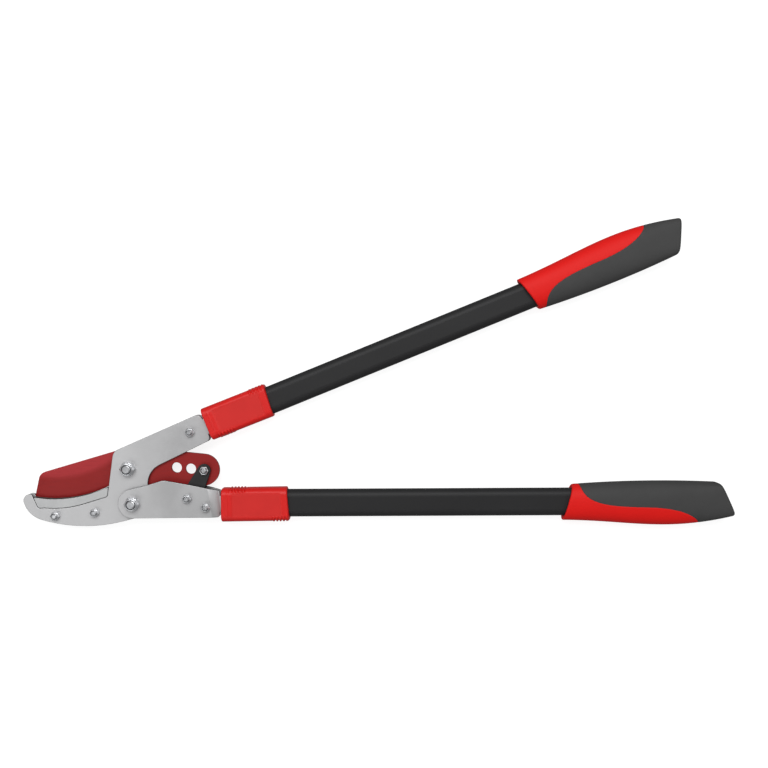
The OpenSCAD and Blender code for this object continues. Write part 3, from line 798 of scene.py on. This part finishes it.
def ring_points(t, angle, inset=0, push=0):
    """Points of the grip's skin at t along it and an angle around it, pulled in by inset and
    moved on along both edges by push."""
    outer, inner = bezier(OUTER_EDGE, t), bezier(INNER_EDGE, t)
    chord = outer - inner
    width = np.linalg.norm(chord, axis=-1)
    way = chord / width[..., None]
    power = squareness(t)
    x = eased(np.cos(angle), power)
    flat = (outer + inner) / 2 + way * ((width / 2 - inset) * x)[..., None]
    share = ((1 + x) / 2)[..., None]
    flat = flat + push * (share * edge_way(OUTER_EDGE, t) + (1 - share) * edge_way(INNER_EDGE, t))
    thick = GRIP_THICK / 2 - NECK_SLIMMER * np.clip(1 - 2.2 * t, 0, 1) ** 2
    thick = thick - END_SLIMMER * np.clip(3 * t - 2, 0, 1) ** 2
    z = (thick - inset) * eased(np.sin(angle), power)
    return np.stack([flat[..., 0] + GRIP_START, flat[..., 1], z], -1)


def pocket_points(t, angle, shrink):
    """The inside of the grip, on the tube's oval, in the same slanted rings as its skin."""
    outer, inner = bezier(OUTER_EDGE, t), bezier(INNER_EDGE, t)
    slant = (outer - inner)[..., 0] / (outer - inner)[..., 1]
    b = TUBE_HALF[0] * shrink * eased(np.cos(angle), GRIP_SQUARE)
    z = TUBE_HALF[1] * shrink * eased(np.sin(angle), GRIP_SQUARE)
    a = outer[..., 0] + (b - outer[..., 1]) * slant + GRIP_START
    return np.stack([a, b, z], -1)


def split_distance(grid):
    """How far each point lies from the split, seen from above."""
    flat = grid[..., None, :2] - np.array([GRIP_START, 0])
    return np.linalg.norm(flat - SPLIT, axis=-1).min(-1)


def drop_edge(grid, radius):
    """Rounds the skin off where it meets the split, by moving it in towards the grip's core."""
    inwards = grid * [0, -0.75, -1]
    size = np.maximum(np.linalg.norm(inwards, axis=-1), 1e-6)
    inwards = inwards / size[..., None]
    return grid + inwards * rounding(split_distance(grid), radius)[..., None]


def grip(arm):
    """The dark body and the red cover of a grip, two pieces that meet along the split.

    Both follow rings at t along the grip: the cover's columns run round the outer edge from
    split to split, and the body's run round the inner edge, denser near the split."""
    probe = np.linspace(0, 1, 4001)
    turn = split_angle(probe)
    begin = probe[np.argmax(turn < math.pi - 1e-3)]
    finish_at = probe[np.argmax(turn < 1e-3)]
    body = arm.side + "_arm"
    bend = np.linspace(0, TURN / 4, 7)
    along_split = np.linspace(begin, finish_at, SPLIT_ROWS)

    t = np.concatenate([np.linspace(0, begin, NECK_ROWS), along_split[1:]])
    v = np.sin(np.linspace(-1, 1, 89) * TURN / 4)
    angle = split_angle(t)[:, None] * v
    top = drop_edge(ring_points(t[:, None] + 0 * angle, angle), SPLIT_DROP)
    full = math.pi * v[None]
    neck = [ring_points(0 * full, full, NECK_ROUND * (1 - math.cos(f)), -NECK_ROUND * math.sin(f))
            for f in bend[:0:-1]]
    top = np.concatenate(neck + [top])
    under = pocket_points(t[:, None] + 0 * angle, angle, 1)
    under = np.concatenate([under[:1]] * len(neck) + [under])
    rim = np.arange(len(neck) + NECK_ROWS - 2, len(top))
    points, faces = walled(arm.place(top), arm.place(under), rim)
    node = arm.side + "_grip_cover"
    piece(node + "_finished", points, faces, GRIP_RED, body, "grip_red", [node], 50)

    t = np.concatenate([along_split, np.linspace(finish_at, 1, END_ROWS)[1:]])
    v = (1 + np.sin(np.linspace(-1, 1, 101) * TURN / 4)) / 2
    turn = split_angle(t)[:, None]
    turn[SPLIT_ROWS:] = 0
    angle = turn + (TURN - 2 * turn) * v
    top = ring_points(t[:, None] + 0 * angle, angle)
    near = SPLIT_ROWS + 2
    top[:near] = drop_edge(top[:near], SPLIT_DROP)
    full = TURN * v[None]
    end = [ring_points(0 * full + 1, full, END_INSET * (1 - math.cos(f)), END_ROUND * math.sin(f))
           for f in bend[1:]]
    last = end[-1]
    centre = last.mean(axis=1, keepdims=True)
    face = [centre + (last - centre) * s for s in (0.8, 0.6, 0.4, 0.2, 0)]
    top = np.concatenate([top] + end + face)
    shrink = np.where(np.arange(len(t)) < len(t) - 1, 1.0, 0.0)[:, None] + 0 * angle
    under = pocket_points(np.minimum(t, HOLE_END)[:, None] + 0 * angle, angle, shrink)
    under = np.concatenate([under] + [under[-1:]] * (len(end) + len(face)))
    points, faces = walled(arm.place(top), arm.place(under), np.arange(SPLIT_ROWS))
    node = arm.side + "_grip_body"
    piece(node + "_finished", points, faces, GRIP_DARK, body, "grip_dark", [node], 50)


for arm in ARMS:
    collar(arm)
    grip(arm)

for name, node in frame["nodes"].items():
    for part, finish in CAD_FINISH.items():
        if name.endswith(part):
            node.data.materials.clear()
            node.data.materials.append(finish)


# ---- camera, light and floor ----

CAMERA_REACH = 950  # from the middle of what it sees
CAMERA_SPAN = 768  # width of what it sees, at that distance
CAMERA_TARGET = (250.8, 117.9)
CAMERA_LEAN = 1.8  # degrees
CAMERA_TWIST = -0.27


def aim_camera():
    """A view almost straight down on the tool, leaning a little towards the upper handle."""
    lean = math.radians(CAMERA_LEAN)
    twist = math.radians(CAMERA_TWIST)
    target = Vector((*CAMERA_TARGET, MIDDLE)) * MM
    right = Vector((1, 0, 0))
    up = Vector((0, math.cos(lean), -math.sin(lean)))
    back = Vector((0, math.sin(lean), math.cos(lean)))
    turn = Matrix.Rotation(twist, 3, "Z")
    axes = Matrix((turn @ right, turn @ up, turn @ back)).transposed()
    data = bpy.data.cameras.new("camera")
    data.sensor_width = 36
    data.lens = data.sensor_width * CAMERA_REACH / CAMERA_SPAN
    camera = bpy.data.objects.new("camera", data)
    place = target + (turn @ back) * CAMERA_REACH * MM
    camera.matrix_world = Matrix.Translation(place) @ axes.to_4x4()
    bpy.context.scene.collection.objects.link(camera)
    bpy.context.scene.camera = camera


def hang_lamp(name, place, target, width, height, power):
    """A soft rectangular lamp at place that faces target, in metres and watts."""
    data = bpy.data.lights.new(name, "AREA")
    data.shape = "RECTANGLE"
    data.size = width
    data.size_y = height
    data.energy = power
    lamp = bpy.data.objects.new(name, data)
    lamp.location = place
    lamp.rotation_euler = (Vector(target) - Vector(place)).to_track_quat("-Z", "Y").to_euler()
    bpy.context.scene.collection.objects.link(lamp)


def light_studio():
    """An even dim room, a key softbox beyond the upper handle, a weaker one opposite and a
    faint one past the grips."""
    world = bpy.data.worlds.new("studio")
    world.use_nodes = True
    room = world.node_tree.nodes["Background"]
    room.inputs["Color"].default_value = (1, 1, 1, 1)
    room.inputs["Strength"].default_value = 0.3
    bpy.context.scene.world = world
    hang_lamp("key lamp", (0.15, 0.9, 1.4), (0.25, 0.1, 0), 1.8, 0.8, 22.5)
    hang_lamp("fill lamp", (-0.6, -0.8, 1.3), (0.1, 0.05, 0), 1.4, 0.8, 6)
    hang_lamp("side lamp", (1.5, 0.2, 1.2), (0.3, 0.1, 0), 1.0, 0.8, 3)


def lay_floor():
    """A wide matt floor that glows nearly white, so that shadows on it stay faint. The tool is
    neither lit by it nor mirrors it, so its lower edges stay dark and crisp."""
    reach = 3
    mesh = bpy.data.meshes.new("floor")
    square = [(-reach, -reach, 0), (reach, -reach, 0), (reach, reach, 0), (-reach, reach, 0)]
    mesh.from_pydata(square, [], [(0, 1, 2, 3)])
    floor = bpy.data.objects.new("floor", mesh)
    bpy.context.scene.collection.objects.link(floor)
    floor.visible_diffuse = False
    floor.visible_glossy = False
    f = Finish("floor")
    mesh.materials.append(f.coat(
        Base_Color=(0.3, 0.3, 0.3, 1), Roughness=0.9, Specular_IOR_Level=0,
        Emission_Color=(1, 1, 1, 1), Emission_Strength=0.85))


aim_camera()
light_studio()
lay_floor()
bpy.context.scene.view_settings.view_transform = "Standard"
